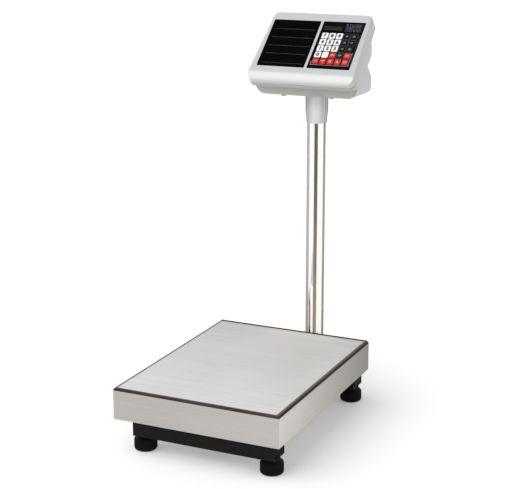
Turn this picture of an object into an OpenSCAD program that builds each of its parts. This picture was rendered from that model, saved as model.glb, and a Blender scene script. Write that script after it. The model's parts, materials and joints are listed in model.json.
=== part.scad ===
// Column scale with a label printer in its head: a platform on a load cell, a tube at the back,
// and a sloping head with a display, a keypad and a small printer behind a rear door.
// Millimetres, +Z up, front towards -Y. The origin is the bottom centre of the whole object.

/* [Platform] */
// Width of the weighing pan, left to right
pan_w = 300; // [290:5:320]
// Depth of the weighing pan, front to back
pan_d = 400; // [390:5:420]
// Height of the pan's top face above the floor
pan_top = 114; // [112:0.5:118]
// Height of the pan from its lower hem to its top face
pan_h = 54.5; // [52:0.5:55]
// Thickness of the pan's sheet
pan_sheet = 1.5; // [1:0.1:2]
// Width of the black strip round the pan's top edge
trim_w = 4.8; // [4:0.2:6]
// Height of that strip
trim_h = 3.9; // [3.5:0.1:4.5]

/* [Base] */
// Distance from the left feet to the right feet
foot_span_x = 232; // [220:2:236]
// Distance from the front feet to the rear feet
foot_span_y = 351; // [345:1:355]
// How far the base sits to the right of the pan's centre
base_shift_x = 5; // [0:1:6]
// How far the base sits behind the pan's centre
base_shift_y = 12.5; // [8:0.5:15]
// Height of a levelling foot, which is also the underside of the crossbars
foot_h = 28; // [26:1:28]
// Radius of a levelling foot
foot_r = 19.6; // [17:0.2:20]
// How far a levelling foot screws down
foot_travel = 12; // [8:1:12]

/* [Column] */
// Distance from the pan's back edge to the column's axis
column_gap = 92.5; // [80:0.5:92.5]
// Outer radius of the column tube
column_r = 18; // [17:0.5:18]
// Height of the column tube's top end above the floor
column_top = 541; // [500:1:560]
// How far the head turns each way on the column, in degrees
swivel_angle = 60; // [30:5:60]

/* [Head] */
// Slope of the head's face above the horizontal, in degrees
face_tilt = 42; // [42:1:42]
// Distance from the pan's back edge to the lower edge of the head's windows
head_gap = 20; // [18:1:22]
// Width of the head's face at its top edge
face_top_w = 195; // [190:1:200]
// Width of the head's face at its bottom edge
face_bottom_w = 208; // [204:1:210]
// Distance up the slope from the windows' bottom edge to the face's top edge
face_up = 133; // [130:1:136]
// Thickness of the head above its hump, through the slope
slab_t = 27.5; // [27:0.5:28]
// Width of the display window
display_w = 92.5; // [90:0.5:92.5]
// Width of the keypad panel
keypad_w = 81; // [80:0.5:81]
// Height of both windows, along the slope
window_h = 112; // [110:1:113]
// Wall thickness of the head's shells
wall = 2.5; // [2:0.1:3]

/* [Keys] */
// Width of a key
key_w = 11.8; // [11:0.1:12.2]
// Height of a key, along the slope
key_h = 13; // [12:0.1:13.2]
// Distance between key centres, left to right
key_pitch_x = 14.1; // [14:0.1:14.2]
// Distance between key centres, along the slope
key_pitch_y = 15.1; // [15:0.1:15.2]
// How far a key stands out of the keypad panel
key_proud = 0.9; // [0.8:0.1:1.2]

/* [Printer] */
// Width of the label roll
roll_w = 40; // [36:1:40]
// Radius of the full label roll
roll_r = 15; // [12:0.5:15]
// Radius of the rubber platen roller
platen_r = 4; // [3.5:0.1:4]

/* [Hidden] */
// Segments round a circle; every circle is rebuilt as a true one
$fn = 48;
// Small step that makes a cut run clear through a face
eps = 0.5;

// The head's upper back corner is the rearmost point, so it sets where the origin lies in Y
rear_reach = head_gap + face_up * cos(face_tilt) + slab_t * sin(face_tilt);
pan_y = -rear_reach / 2;
pan_back = pan_y + pan_d / 2;
base_x = base_shift_x;
base_y = pan_y + base_shift_y;
front_y = base_y - foot_span_y / 2;
back_y = base_y + foot_span_y / 2;
column_y = pan_back + column_gap;
arm_end = column_y + 27.5;

bar_w = 40;
bar_h = 30;
bar_len = 258;
bar_t = 2.5;
bar_top = foot_h + bar_h;
spine_w = 50;
arm_w = 56;
stud_r = 4;
cable_r = 2.5;
cable_hole_r = 6;
cable_z = foot_h + bar_h / 2;

pad_t = 3;
cell_len = 140;
cell_w = 40;
cell_h = 25;
cell_z = bar_top + pad_t;
cell_bolt_r = 3;
cell_bolt_in = 12;
cell_bolt_pitch = 16;
frame_z = cell_z + cell_h + pad_t;
frame_h = 20;
frame_top = frame_z + frame_h;
rail_off = 163;
rail_w = 30;
rail_len = 276;
stop_x = 90;

pan_low = pan_top - pan_h;
pan_shoulder = pan_top - trim_h;
pan_under = pan_top - pan_sheet;
hem_h = 8;

ring_r = 24;
ring_top = bar_top + 14;
tube_t = 1.5;
tube_low = foot_h + bar_t;
fit = 0.05;
guide_z = column_top - 13;
guide_r = 2.5;

// The head's own frame: X to the right, Y up the slope, Z out of the face, and its zero at the
// middle of the windows' bottom edge.
head_y = pan_back + head_gap;
head_z = 600.7;
face_low = 25;
split_z = -20;
under_drop = 54;
under_z = head_z - under_drop;
lid_top = -46.5;
step_y = 52;
ridge_y = 90;
hump_back = 97.5;
hump_w = 198;
collar_r = 21.5;

display_x = -43.25;
keypad_x = 49;
panel_t = 1.6;
key_col0 = 20.5;
key_row0 = 77.4;
key_gap = 0.25;
flange = 0.9;

// Printer behind the rear door, and the power entry beside it
printer_x = 56;
door_w = 46;
door_low = -82.2;
door_high = -48.6;
door_t = 2.5;
hinge_y = step_y + 0.8;
hinge_z = -84;
hinge_r = 1.6;
hinge_pin_r = 0.8;
cheek_x = 20.4;
platen_len = 38;
platen_y = 44.8;
platen_z = -53;
shaft_r = 1.5;
roll_y = 26;
roll_z = -71;
spindle_r = 6;
plate_x = 23.8;
entry_x = -40;
entry_z = -66;
inlet_off = 10;
rocker_off = -17;
rocker_y = 50;
rocker_rest = -8;

KEY_NAMES = ["key_7", "key_8", "key_9", "key_item", "key_price",
             "key_4", "key_5", "key_6", "key_date", "key_unit",
             "key_1", "key_2", "key_3", "key_memory", "key_code",
             "key_0", "key_dot", "key_clear", "key_add", "key_total",
             "key_zero", "key_tare", "key_hold", "key_feed", "key_print"];
KEY_COLOURS = ["white", "white", "white", "dimgray", "dimgray",
               "white", "white", "white", "dimgray", "dimgray",
               "white", "white", "white", "dimgray", "steelblue",
               "white", "white", "crimson", "darkgreen", "crimson",
               "crimson", "crimson", "crimson", "crimson", "crimson"];
FOOT_NAMES = ["foot_front_left", "foot_front_right", "foot_rear_left", "foot_rear_right"];

// ---- Helpers ----

// A box centred in X and Y, standing on z
module block(size, x = 0, y = 0, z = 0)
    translate([x - size[0] / 2, y - size[1] / 2, z])
        cube(size);

// A closed rectangular tube wall_t thick, standing on z
module box_tube(size, wall_t, x, y, z)
    difference() {
        block(size, x, y, z);
        block([size[0] - 2 * wall_t, size[1] - 2 * wall_t, size[2] - 2 * wall_t], x, y, z + wall_t);
    }

// An upright cylinder from z to z + h
module post(r, h, x = 0, y = 0, z = 0)
    translate([x, y, z])
        cylinder(r = r, h = h);

// A cylinder along X, from x to x + len
module rod_x(r, len, x, y, z)
    translate([x, y, z])
        rotate([0, 90, 0])
            cylinder(r = r, h = len);

// A cylinder along Y, from y to y + len
module rod_y(r, len, x, y, z)
    translate([x, y, z])
        rotate([-90, 0, 0])
            cylinder(r = r, h = len);

// Places its children in the head's own frame
module in_head()
    translate([base_x, head_y, head_z])
        rotate([face_tilt, 0, 0])
            children();

// Extrudes a (Y, Z) outline of the head's frame along X, centred on x
module along_x(points, width, x = 0)
    translate([x - width / 2, 0, 0])
        rotate([90, 0, 90])
            linear_extrude(width)
                polygon(points);

// Points of a rounded corner: centre c, radius r, from angle a0 to angle a1
function arc(c, r, a0, a1, steps = 6) =
    [for (i = [0 : steps]) let (a = a0 + (a1 - a0) * i / steps) c + r * [cos(a), sin(a)]];

// Plate t thick with rounded corners, centred in X and Y
module rounded(w, h, r, t, steps = 6)
    linear_extrude(t)
        polygon(concat(arc([w / 2 - r, h / 2 - r], r, 0, 90, steps),
                       arc([r - w / 2, h / 2 - r], r, 90, 180, steps),
                       arc([r - w / 2, r - h / 2], r, 180, 270, steps),
                       arc([w / 2 - r, r - h / 2], r, 270, 360, steps)));

// ---- Base ----

module crossbar(y)
    color([0.08, 0.08, 0.08])
        difference() {
            box_tube([bar_len, bar_w, bar_h], bar_t, base_x, y, foot_h);
            for (side = [-1, 1])
                post(stud_r + 0.4, bar_t + 2 * eps, base_x + side * foot_span_x / 2, y, foot_h - eps);
        }

module front_crossbar()
    crossbar(front_y);

module rear_crossbar()
    difference() {
        crossbar(back_y);
        rod_y(cable_hole_r, bar_w + 2 * eps, base_x, back_y - bar_w / 2 - eps, cable_z);
    }

module spine_beam() {
    low = front_y + bar_w / 2;
    high = back_y - bar_w / 2;
    pad_len = 2 * cell_bolt_in + cell_bolt_pitch;
    color([0.08, 0.08, 0.08])
        difference() {
            union() {
                block([spine_w, high - low, bar_h], base_x, (low + high) / 2, foot_h);
                block([cell_w, pad_len, pad_t], base_x, pan_y - cell_len / 2 + pad_len / 2, bar_top);
            }
            block([spine_w - 2 * bar_t, high - low + 2 * eps, bar_h - 2 * bar_t],
                  base_x, (low + high) / 2, foot_h + bar_t);
            for (i = [0, 1]) {
                bolt_y = pan_y - cell_len / 2 + cell_bolt_in + i * cell_bolt_pitch;
                post(cell_bolt_r + 0.2, 20, base_x, bolt_y, bar_top - bar_t - eps);
                post(7, bar_t + 2 * eps, base_x, bolt_y, foot_h - eps);
            }
            post(cable_hole_r, bar_t + 2 * eps, base_x, high - 50, bar_top - bar_t - eps);
        }
}

module foot(x, y)
    color([0.05, 0.05, 0.05]) {
        edge = 5;
        translate([x, y, 0])
            rotate_extrude()
                polygon(concat([[0, 0]], arc([foot_r - edge, edge], edge, -90, 0, 5),
                               [[foot_r, foot_h - 9], [14.5, foot_h - 4.5], [13.8, foot_h - 3],
                                [13.8, foot_h - 0.3], [0, foot_h - 0.3]]));
        post(stud_r, foot_travel + 14.5, x, y, foot_h - 1);
    }

// ---- Weighing parts ----

module load_cell()
    color("lightgray")
        difference() {
            block([cell_w, cell_len, cell_h], base_x, pan_y, cell_z);
            for (end = [-1, 1])
                rod_x(8.5, cell_w + 2 * eps, base_x - cell_w / 2 - eps, pan_y + end * 14,
                      cell_z + cell_h / 2);
            block([cell_w + 2 * eps, 28, 5], base_x, pan_y, cell_z + cell_h / 2 - 2.5);
            for (i = [0, 1]) {
                inset = cell_len / 2 - cell_bolt_in - i * cell_bolt_pitch;
                post(cell_bolt_r + fit, 16, base_x, pan_y - inset, cell_z - eps);
                post(cell_bolt_r + fit, 16, base_x, pan_y + inset, cell_z + cell_h - 15.5);
            }
        }

// The feet's lock nuts inside the crossbars, and the load cell's bolts
module base_fasteners()
    color("silver") {
        for (x = [-1, 1], y = [front_y, back_y])
            difference() {
                translate([base_x + x * foot_span_x / 2, y, foot_h + bar_t])
                    cylinder(r = 7.5, h = 6.5, $fn = 6);
                post(stud_r + fit, 8, base_x + x * foot_span_x / 2, y, foot_h + bar_t - eps);
            }
        for (i = [0, 1]) {
            inset = cell_len / 2 - cell_bolt_in - i * cell_bolt_pitch;
            post(5, 5, base_x, pan_y - inset, bar_top - bar_t - 5);
            post(cell_bolt_r, 18, base_x, pan_y - inset, bar_top - bar_t - eps);
            post(5, 5, base_x, pan_y + inset, frame_z + bar_t);
            post(cell_bolt_r, 18, base_x, pan_y + inset, frame_z + bar_t - 17.5);
        }
    }

module load_frame_spine() {
    length = 2 * rail_off - rail_w;
    pad_len = 2 * cell_bolt_in + cell_bolt_pitch;
    color("dimgray")
        difference() {
            union() {
                block([cell_w, length, frame_h], base_x, pan_y, frame_z);
                block([cell_w, pad_len, pad_t], base_x, pan_y + cell_len / 2 - pad_len / 2, frame_z - pad_t);
            }
            block([cell_w - 2 * bar_t, length + 2 * eps, frame_h - 2 * bar_t],
                  base_x, pan_y, frame_z + bar_t);
            for (i = [0, 1]) {
                bolt_y = pan_y + cell_len / 2 - cell_bolt_in - i * cell_bolt_pitch;
                post(cell_bolt_r + 0.2, 8, base_x, bolt_y, frame_z - pad_t - eps);
                post(7, bar_t + 2 * eps, base_x, bolt_y, frame_top - bar_t - eps);
            }
        }
}

module load_frame_rails()
    color("dimgray")
        for (side = [-1, 1])
            box_tube([rail_len, rail_w, frame_h], bar_t, 0, pan_y + side * rail_off, frame_z);

module pan_pads()
    color([0.1, 0.1, 0.1])
        for (x = [-1, 1], y = [-1, 1])
            post(12, pan_under - frame_top, x * (rail_len / 2 - 16), pan_y + y * rail_off, frame_top);

module overload_stops()
    color("silver")
        for (side = [-1, 1], y = [front_y, back_y - bar_w / 2 + 5]) {
            x = base_x + side * stop_x;
            post(stud_r, frame_z - bar_top - 1, x, y, bar_top);
            translate([x, y, frame_z - 7])
                cylinder(r = 7, h = 6, $fn = 6);
            translate([x, y, bar_top])
                cylinder(r = 7, h = 6, $fn = 6);
        }

module pan() {
    top_w = pan_w - 2 * trim_w;
    top_d = pan_d - 2 * trim_w;
    color([0.82, 0.82, 0.8])
        difference() {
            union() {
                block([pan_w, pan_d, pan_shoulder - pan_low], 0, pan_y, pan_low);
                block([top_w, top_d, pan_h - 1], 0, pan_y, pan_low + 1);
            }
            block([pan_w - 4 * pan_sheet, pan_d - 4 * pan_sheet, pan_h - 10], 0, pan_y, pan_low - eps);
            block([pan_w - 2 * pan_sheet, pan_d - 2 * pan_sheet, pan_shoulder - pan_sheet - pan_low - hem_h],
                  0, pan_y, pan_low + hem_h);
            block([top_w - 2 * pan_sheet, top_d - 2 * pan_sheet, pan_under - pan_low - hem_h],
                  0, pan_y, pan_low + hem_h);
        }
}

module pan_trim() {
    top_w = pan_w - 2 * trim_w;
    top_d = pan_d - 2 * trim_w;
    land = 0.6;
    color([0.1, 0.1, 0.1])
        difference() {
            union() {
                block([pan_w, pan_d, land], 0, pan_y, pan_shoulder);
                translate([0, pan_y, pan_shoulder + land])
                    linear_extrude(trim_h - land, slices = 1,
                                   scale = [(top_w + 5) / pan_w, (top_d + 5) / pan_d])
                        square([pan_w, pan_d], center = true);
            }
            block([top_w, top_d, trim_h + 2], 0, pan_y, pan_shoulder - 1);
        }
}

// ---- Column ----

module column_bracket() {
    low = back_y + bar_w / 2;
    color([0.08, 0.08, 0.08])
        difference() {
            union() {
                block([arm_w, arm_end - low, bar_h], base_x, (arm_end + low) / 2, foot_h);
                post(ring_r, ring_top - bar_top + eps, base_x, column_y, bar_top - eps);
            }
            translate([base_x - arm_w / 2 + bar_t, low - eps, foot_h + bar_t])
                cube([arm_w - 2 * bar_t, arm_end - low - bar_t + eps, bar_h - 2 * bar_t]);
            post(column_r + fit, ring_top, base_x, column_y, foot_h + bar_t + 1);
            rod_x(3 + fit, 80, base_x - 40, column_y, bar_top + 7);
        }
}

module column_screws()
    color("silver")
        for (side = [0, 180])
            translate([base_x, column_y, bar_top + 7])
                rotate([0, 0, side]) {
                    rod_x(3, ring_r - column_r - 0.1, column_r + 0.1, 0, 0);
                    translate([ring_r, 0, 0])
                        rotate([0, 90, 0])
                            cylinder(r = 5.5, h = 4, $fn = 6);
                }

module column_tube() {
    spread = swivel_angle + 10;
    color([0.8, 0.8, 0.8])
        difference() {
            post(column_r, column_top - tube_low, base_x, column_y, tube_low);
            post(column_r - tube_t, column_top, base_x, column_y, 0);
            rod_y(cable_hole_r, column_r, base_x, column_y - column_r - eps, cable_z);
            translate([base_x, column_y, guide_z - guide_r - 0.3])
                rotate([0, 0, 90 - spread])
                    rotate_extrude(angle = 2 * spread)
                        translate([column_r - 4, 0])
                            square([6, 2 * guide_r + 0.6]);
        }
}

// Route of the load cell's cable, as distances behind the pan's centre and above the floor: over the
// cell's end, down into the spine beam, back through the rear crossbar and the arm, and up the tube
// into the head
CABLE_ROUTE = [[70, 73.5], [78, 73.5], [88, 73.5], [100, 71], [110, 65], [117, 57], [126, 48], [138, 44],
               [152, 43], [180, 43], [210, 43], [240, 43], [265, 43], [279, 44], [288, 48],
               [292, 57], [292.5, 70], [292.5, 120], [292.5, 200], [292.5, 300], [292.5, 400],
               [292.5, 500], [292.5, 572]];

module signal_cable() {
    sides = 8;
    count = len(CABLE_ROUTE);
    function lean(i) =
        let (a = CABLE_ROUTE[max(0, i - 1)], b = CABLE_ROUTE[min(count - 1, i + 1)])
        atan2(b[1] - a[1], b[0] - a[0]);
    ring_points = [for (i = [0 : count - 1], k = [0 : sides - 1])
        let (turn = 360 * k / sides, up = cable_r * sin(turn))
        [base_x + cable_r * cos(turn), pan_y + CABLE_ROUTE[i][0] - up * sin(lean(i)),
         CABLE_ROUTE[i][1] + up * cos(lean(i))]];
    walls = [for (i = [0 : count - 2], k = [0 : sides - 1])
        let (n = (k + 1) % sides)
        [i * sides + k, i * sides + n, (i + 1) * sides + n, (i + 1) * sides + k]];
    first = [for (k = [0 : sides - 1]) sides - 1 - k];
    last = [for (k = [0 : sides - 1]) (count - 1) * sides + k];
    color([0.15, 0.15, 0.15])
        polyhedron(ring_points, concat(walls, [first, last]));
}

module head_collar()
    color([0.8, 0.81, 0.8])
        difference() {
            union() {
                translate([base_x, column_y, column_top - 49.4])
                    cylinder(r1 = column_r + 1.4, r2 = collar_r, h = 18);
                post(collar_r, under_z + wall + 1 - (column_top - 31.4), base_x, column_y, column_top - 31.4);
                block([60, 38, 3], base_x, column_y - 2, under_z + wall);
            }
            post(column_r + fit, column_top + 0.3 - 480, base_x, column_y, 480);
            post(12, 40, base_x, column_y, column_top - 10);
            rod_y(guide_r, 12, base_x, column_y + column_r - 3, guide_z);
        }

// ---- Head shells ----

function face_outline(grow) =
    let (top = face_up - grow, low = -face_low + grow, wt = face_top_w / 2 - grow,
         wb = face_bottom_w / 2 - grow, r = 11 - grow / 2)
    concat(arc([wt - r, top - r], r, 0, 90), arc([r - wt, top - r], r, 90, 180),
           arc([r - wb, low + r], r, 180, 270), arc([wb - r, low + r], r, 270, 360));

// Side outline of the sloping slab, with an upright lip at its lower edge
function slab_profile(grow) =
    concat([[-face_low + grow, -slab_t + grow], [-face_low + grow, -13.5], [grow - 24, -11.3 - 0.6 * grow],
            [0.6 * grow - 15, -1.4 - grow], [0.6 * grow - 12, -grow]],
           arc([face_up - 5, -5], 5 - grow, 90, 0, 4), [[face_up - grow, -slab_t + grow]]);

module slab(grow)
    intersection() {
        translate([0, 0, -slab_t - 10])
            linear_extrude(slab_t + 20)
                polygon(face_outline(grow));
        along_x(slab_profile(grow), 2 * face_bottom_w);
    }

// Places its children at the four screws that join the shells
module at_shell_screws()
    for (x = [-1, 1], y = [-15.5, face_up - 11])
        translate([x * 86, y, 0])
            children();

module front_shell()
    color([0.88, 0.89, 0.89])
        in_head()
            difference() {
                union() {
                    difference() {
                        slab(0);
                        slab(wall);
                        block([300, 300, 40], 0, 50, split_z - 40);
                    }
                    at_shell_screws() {
                        post(3.4, slab_t - wall - 6.5, 0, 0, wall - slab_t);
                    }
                    for (x = [-1, 1], y = [-15.5, face_up - 11])
                        block([12, 2, -6.5 - split_z], x * 93.5, y, split_z);
                }
                translate([display_x, window_h / 2, -panel_t])
                    rounded(display_w + 0.3, window_h + 0.3, 2, 10);
                block([display_w - 6, window_h - 6, 20], display_x, window_h / 2, -10);
                translate([keypad_x, window_h / 2, -panel_t])
                    rounded(keypad_w + 0.3, window_h + 0.3, 1.5, 10);
                block([keypad_w - 4, window_h - 4, 20], keypad_x, window_h / 2, -10);
                at_shell_screws()
                    post(1.5 + fit, 14, 0, 0, wall - slab_t - eps);
            }

// Side outline of the hump behind the slab: ridge, step, back wall and flat underside
function hump_profile(grow) =
    let (s = sin(face_tilt), c = cos(face_tilt), back = hump_back - grow, low = grow - under_drop,
         front = 19 + grow, corner = (c * (step_y - 6) - (hump_back - 6)) / s)
    concat([[grow - 12, split_z + 1], [grow - 12, -39 - grow / 2],
            [front * c + low * s, low * c - front * s], [back * c + low * s, low * c - back * s]],
           arc([step_y - 6, corner], 6 - grow, -face_tilt, 0, 4), [[step_y - grow, lid_top + grow]],
           arc([ridge_y - 6, lid_top + 6], 6 - grow, -90, 0, 4), [[ridge_y - grow, split_z + 1]]);

// Outline of the hump seen from the front, with rounded lower corners
function hump_front(grow) =
    concat(arc([hump_w / 2 - 18, 18], 18 - grow, -90, 0),
           [[hump_w / 2 - grow, 160], [grow - hump_w / 2, 160]],
           arc([18 - hump_w / 2, 18], 18 - grow, 180, 270));

// Outline of the hump seen from above, with rounded rear corners
function hump_plan(grow) =
    concat([[grow - hump_w / 2, -60], [hump_w / 2 - grow, -60]],
           arc([hump_w / 2 - 10, hump_back - 10], 10 - grow, 0, 90),
           arc([10 - hump_w / 2, hump_back - 10], 10 - grow, 90, 180));

module hump(grow)
    intersection() {
        along_x(hump_profile(grow), 2 * hump_w);
        rotate([-face_tilt, 0, 0]) {
            intersection() {
                translate([0, 200, -under_drop])
                    rotate([90, 0, 0])
                        linear_extrude(400)
                            polygon(hump_front(grow));
                translate([0, 0, -100])
                    linear_extrude(260)
                        polygon(hump_plan(grow));
            }
        }
    }

module hinge_knuckles()
    for (side = [-1, 1]) {
        x = printer_x + side * (door_w / 2 - 3);
        difference() {
            union() {
                rod_x(hinge_r, 4, x - 2, hinge_y, hinge_z);
                block([4, 3, 2 * hinge_r], x, hinge_y - 1.4, hinge_z - hinge_r);
            }
            rod_x(hinge_pin_r + fit, 5, x - 2.5, hinge_y, hinge_z);
        }
    }

module rear_shell()
    color([0.84, 0.85, 0.85])
        difference() {
            union() {
                in_head() {
                    difference() {
                        union() {
                            slab(0);
                            hump(0);
                        }
                        slab(wall);
                        hump(wall);
                        block([300, 300, 60], 0, 50, split_z);
                        at_shell_screws()
                            post(1.5 + fit, 10, 0, 0, -slab_t - 5);
                        block([door_w + 0.8, 12, lid_top - door_low + 0.2],
                              printer_x, step_y, door_low - 0.5);
                        block([52, 12, 20.4], entry_x, step_y, entry_z - 10.2);
                        rod_x(hinge_r + 0.3, door_w - 10.4, printer_x - door_w / 2 + 5.2, hinge_y, hinge_z);
                    }
                    hinge_knuckles();
                }
                for (x = [-47, 47])
                    difference() {
                        post(4.5, 3.5, base_x + x, head_y + 27, under_z - 3);
                        post(2.6, 2, base_x + x, head_y + 27, under_z - 3.5);
                    }
            }
            post(collar_r + 0.1, 6, base_x, column_y, under_z - 1);
        }

// Four screws that join the shells, and the guide screw that runs in the tube's slot
module head_screws()
    color("silver") {
        in_head()
            at_shell_screws() {
                post(1.5, 13, 0, 0, -slab_t - 1);
                post(2.9, 1.8, 0, 0, -slab_t - 1.8);
            }
        rod_y(guide_r - fit, collar_r - column_r + 1.9, base_x, column_y + column_r - 1.8, guide_z);
        rod_y(4, 2.2, base_x, column_y + collar_r, guide_z);
    }

// ---- Display and keypad ----

module display_window()
    color([0.03, 0.03, 0.05])
        in_head()
            translate([display_x, window_h / 2, -panel_t])
                rounded(display_w, window_h, 2, panel_t);

module display_board() {
    rows = 5;
    pitch = (window_h - 12) / rows;
    color("darkgreen")
        in_head() {
            block([display_w - 8, window_h - 8, 1.6], display_x, window_h / 2, -15.6);
            for (row = [0 : rows - 1], half = [-1, 1])
                block([38, pitch - 4, 10.5], display_x + half * 20.5, 6 + pitch * (row + 0.5), -14.1);
        }
}

// Centre of the key in column i and row j, counted from the top left
function key_at(i, j) = [key_col0 + i * key_pitch_x, key_row0 - j * key_pitch_y];

module keypad_panel()
    color([0.05, 0.05, 0.06])
        in_head()
            difference() {
                union() {
                    translate([keypad_x, window_h / 2, -panel_t])
                        rounded(keypad_w, window_h, 1.5, panel_t);
                    block([keypad_w - 5, window_h - 5, 3.8], keypad_x, window_h / 2, -5);
                }
                block([keypad_w - 9, window_h - 9, 2.6], keypad_x, window_h / 2, -panel_t - 2.6);
                for (i = [0 : 4], j = [0 : 4])
                    translate([key_at(i, j)[0], key_at(i, j)[1], -2])
                        rounded(key_w + 2 * key_gap, key_h + 2 * key_gap, 1.5, 4, 3);
            }

module key(index) {
    centre = key_at(index % 5, floor(index / 5));
    color(KEY_COLOURS[index])
        in_head() {
            translate([centre[0], centre[1], -2.2])
                rounded(key_w, key_h, 1.3, 2.2 + key_proud, 3);
            block([key_w + 1.6, key_h + 1.6, flange], centre[0], centre[1], -panel_t - 0.1 - flange);
        }
}

module main_board()
    color("seagreen")
        in_head() {
            block([172, 84, 1.6], 0, 46, -23.6);
            for (chip = [[-60, 70, 26, 14], [-18, 60, 18, 18], [34, 66, 30, 12], [66, 30, 14, 26],
                         [-50, 22, 20, 20]])
                block([chip[2], chip[3], 4], chip[0], chip[1], -22.1);
        }

module battery()
    color("royalblue")
        block([40, 36, 29], base_x - 58, head_y + 42, under_z + wall);

// ---- Power entry ----

module power_socket()
    color([0.08, 0.08, 0.09])
        in_head()
            difference() {
                union() {
                    translate([entry_x - 29, step_y, entry_z - 13])
                        cube([58, 2, 26]);
                    translate([entry_x - 25.5, step_y - 19, entry_z - 9.8])
                        cube([51, 20, 19.6]);
                }
                translate([entry_x + inlet_off - 12.2, step_y - 14, entry_z - 8.2])
                    cube([24.4, 20, 16.4]);
                translate([entry_x + rocker_off - 6.7, step_y - 9, entry_z - 9.3])
                    cube([13.4, 20, 18.6]);
                rod_x(1.2 + fit, 17, entry_x + rocker_off - 8.5, rocker_y, entry_z);
            }

// Three flat pins standing in the inlet
module inlet_pins()
    color("silver")
        in_head()
            for (pin = [[-7, -3], [0, 1], [7, -3]])
                translate([entry_x + inlet_off + pin[0] - 1, step_y - 14, entry_z + pin[1]])
                    cube([2, 10.5, 4]);

module power_switch()
    color([0.1, 0.1, 0.1])
        in_head()
            translate([entry_x + rocker_off, rocker_y, entry_z])
                rotate([rocker_rest, 0, 0]) {
                    difference() {
                        rod_x(8.7, 12.4, -6.2, 0, 0);
                        block([14, 20, 20], 0, -12.5, -10);
                        rod_x(30, 14, -7, 34.2, 0);
                    }
                    rod_x(1.2, 15.4, -7.7, 0, 0);
                    block([12.4, 4, 4], 0, -1, -2);
                }

// ---- Printer ----

module printer_door()
    color([0.84, 0.85, 0.85])
        in_head()
            difference() {
                union() {
                    block([door_w, door_t, door_high - door_low], printer_x, step_y - door_t / 2, door_low);
                    for (side = [-1, 1])
                        block([1.6, 8, 7.5], printer_x + side * cheek_x, step_y - door_t - 3.5,
                              platen_z - 4.5);
                    rod_x(hinge_r, door_w - 11, printer_x - door_w / 2 + 5.5, hinge_y, hinge_z);
                    block([door_w - 11, 1.4, 4.5], printer_x, hinge_y + 0.6, hinge_z);
                    block([door_w - 11, 2.4, 1.8], printer_x, hinge_y - 0.1, hinge_z + 2.7);
                    rod_x(hinge_pin_r, door_w - 4, printer_x - door_w / 2 + 2, hinge_y, hinge_z);
                }
                rod_x(shaft_r + fit, 2 * cheek_x + 4, printer_x - cheek_x - 2, platen_y, platen_z);
            }

module platen_roller()
    color([0.15, 0.15, 0.15])
        in_head() {
            rod_x(platen_r, platen_len, printer_x - platen_len / 2, platen_y, platen_z);
            rod_x(shaft_r, 2 * cheek_x + 2, printer_x - cheek_x - 1, platen_y, platen_z);
        }

module label_roll()
    color("white")
        in_head()
            difference() {
                rod_x(roll_r, roll_w, printer_x - roll_w / 2, roll_y, roll_z);
                rod_x(spindle_r + fit, roll_w + 2, printer_x - roll_w / 2 - 1, roll_y, roll_z);
            }

module printer_chassis()
    color([0.25, 0.25, 0.27])
        in_head() {
            for (side = [-1, 1])
                along_x([[33, -47.2], [40.4, -47.2], [40.4, -58], [35, -70], [21.4, -88.2], [10.3, -78.2],
                         [18, -62], [33, -57]], 1.4, printer_x + side * plate_x);
            rod_x(spindle_r, 2 * plate_x, printer_x - plate_x, roll_y, roll_z);
            block([2 * plate_x, 6.4, 9], printer_x, 37.2, -57.2);
        }

// ---- What is drawn ----

front_crossbar();
rear_crossbar();
spine_beam();
base_fasteners();
load_cell();
load_frame_spine();
load_frame_rails();
pan_pads();
overload_stops();
pan();
pan_trim();
column_bracket();
column_screws();
column_tube();
signal_cable();
head_collar();
front_shell();
rear_shell();
head_screws();
display_window();
display_board();
keypad_panel();
main_board();
battery();
power_switch();
power_socket();
inlet_pins();
printer_door();
printer_chassis();
label_roll();
platen_roller();
for (i = [0 : 3])
    foot(base_x + (i % 2 == 0 ? -1 : 1) * foot_span_x / 2, i < 2 ? front_y : back_y);
for (i = [0 : 24])
    key(i);
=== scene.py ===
"""Looks of the column scale: detailed pieces, materials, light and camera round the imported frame.
Same axes as the CAD. The pieces' sizes are in millimetres and go through MM; textures, camera and studio
are in metres."""

import json
import math

import bmesh
import bpy
from mathutils import Matrix, Vector

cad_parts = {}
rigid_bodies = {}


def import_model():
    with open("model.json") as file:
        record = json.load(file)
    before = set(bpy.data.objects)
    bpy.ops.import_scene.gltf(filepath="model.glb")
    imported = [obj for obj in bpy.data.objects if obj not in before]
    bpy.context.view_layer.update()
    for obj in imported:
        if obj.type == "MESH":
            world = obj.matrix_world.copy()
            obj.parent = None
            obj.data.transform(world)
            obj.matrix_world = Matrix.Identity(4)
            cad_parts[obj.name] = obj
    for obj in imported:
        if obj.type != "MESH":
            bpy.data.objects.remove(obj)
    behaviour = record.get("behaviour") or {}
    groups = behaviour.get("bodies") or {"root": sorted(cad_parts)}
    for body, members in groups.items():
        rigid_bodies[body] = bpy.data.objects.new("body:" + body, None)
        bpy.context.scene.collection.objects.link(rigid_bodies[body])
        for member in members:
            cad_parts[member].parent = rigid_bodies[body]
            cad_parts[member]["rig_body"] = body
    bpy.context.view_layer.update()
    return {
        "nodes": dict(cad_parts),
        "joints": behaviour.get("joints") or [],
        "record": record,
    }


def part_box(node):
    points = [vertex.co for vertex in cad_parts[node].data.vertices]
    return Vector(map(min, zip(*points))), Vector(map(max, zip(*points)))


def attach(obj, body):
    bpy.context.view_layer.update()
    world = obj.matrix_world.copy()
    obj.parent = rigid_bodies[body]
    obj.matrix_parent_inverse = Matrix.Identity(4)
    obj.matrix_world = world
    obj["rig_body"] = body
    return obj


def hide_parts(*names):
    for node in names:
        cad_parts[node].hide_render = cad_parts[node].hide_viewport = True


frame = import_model()
MM = 0.001
SCENE = bpy.context.scene
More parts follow.
